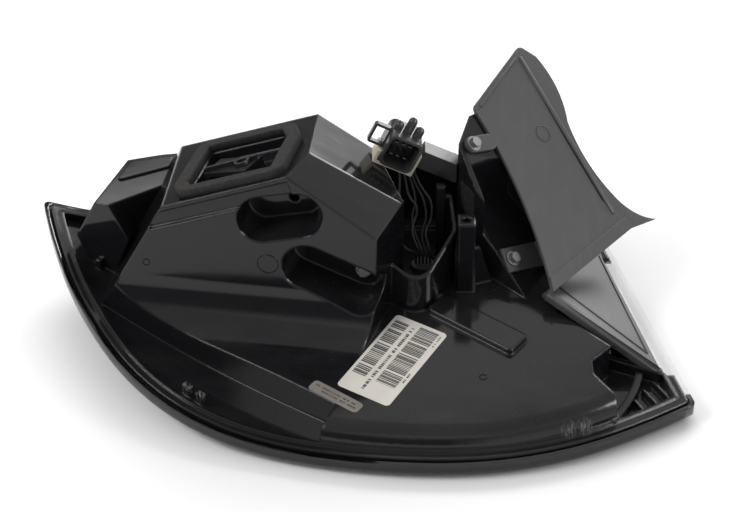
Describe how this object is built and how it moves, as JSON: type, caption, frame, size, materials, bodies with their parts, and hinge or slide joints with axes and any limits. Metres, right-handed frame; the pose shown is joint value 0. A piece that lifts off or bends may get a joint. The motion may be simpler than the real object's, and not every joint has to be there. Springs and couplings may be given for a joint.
{
  "type": "tail light cluster",
  "caption": "Vehicle tail light cluster seen from its moulded back: curved lens, black housing with seal box and screw pockets, lead and plug, and a satin gutter trim.",
  "frame": {"origin": "on the flat front face of the lens, below the middle of the housing", "axes": "+Z from the lens front to the moulded back, +X along the long side towards the gutter trim, +Y across"},
  "size_m": [0.4518, 0.3112, 0.1569],
  "materials": {
    "housing_black": "glossy moulded black",
    "lens_clear": "clear moulded lens",
    "sealant_black": "cured sealant",
    "seal_foam": "matte closed foam",
    "latch_black": "satin moulded",
    "trim_grey": "grained satin",
    "screw_steel": "zinc plated",
    "plug_black": "moulded",
    "pin_metal": "tinned",
    "lock_cream": "moulded",
    "felt_dark": "felt tape",
    "lead_black": "soft sleeve",
    "grommet_rubber": "moulded",
    "label_paper": "printed bars",
    "bezel_grey": "moulded",
    "reflector_silver": "vapour coated",
    "board_green": "solder mask",
    "led_yellow": "cast resin",
    "sink_metal": "plain",
    "guide_clear": "clear bar",
    "reflex_red": "moulded prisms"
  },
  "bodies": {
    "root": {"rear_housing": "housing_black", "outer_lens": "lens_clear", "lens_seal_bead": "sealant_black", "body_seal": "seal_foam", "aperture_latch": "latch_black", "gutter_trim": "trim_grey", "trim_screws": "screw_steel", "housing_screw": "screw_steel", "connector_body": "plug_black", "connector_mount": "plug_black", "connector_pins": "pin_metal", "connector_lock": "lock_cream", "felt_strip": "felt_dark", "wire_1": "lead_black", "wire_2": "lead_black", "wire_3": "lead_black", "wire_4": "lead_black", "wire_5": "lead_black", "wire_grommet": "grommet_rubber", "barcode_label": "label_paper", "strip_label": "label_paper", "inner_bezel": "bezel_grey", "stop_reflector": "reflector_silver", "turn_reflector": "reflector_silver", "stop_led_board": "board_green", "turn_led_board": "board_green", "tail_led_board": "board_green", "stop_leds": "led_yellow", "turn_leds": "led_yellow", "heat_sink": "sink_metal", "tail_light_guide": "guide_clear", "reflex_reflector": "reflex_red"}
  },
  "joints": []
}
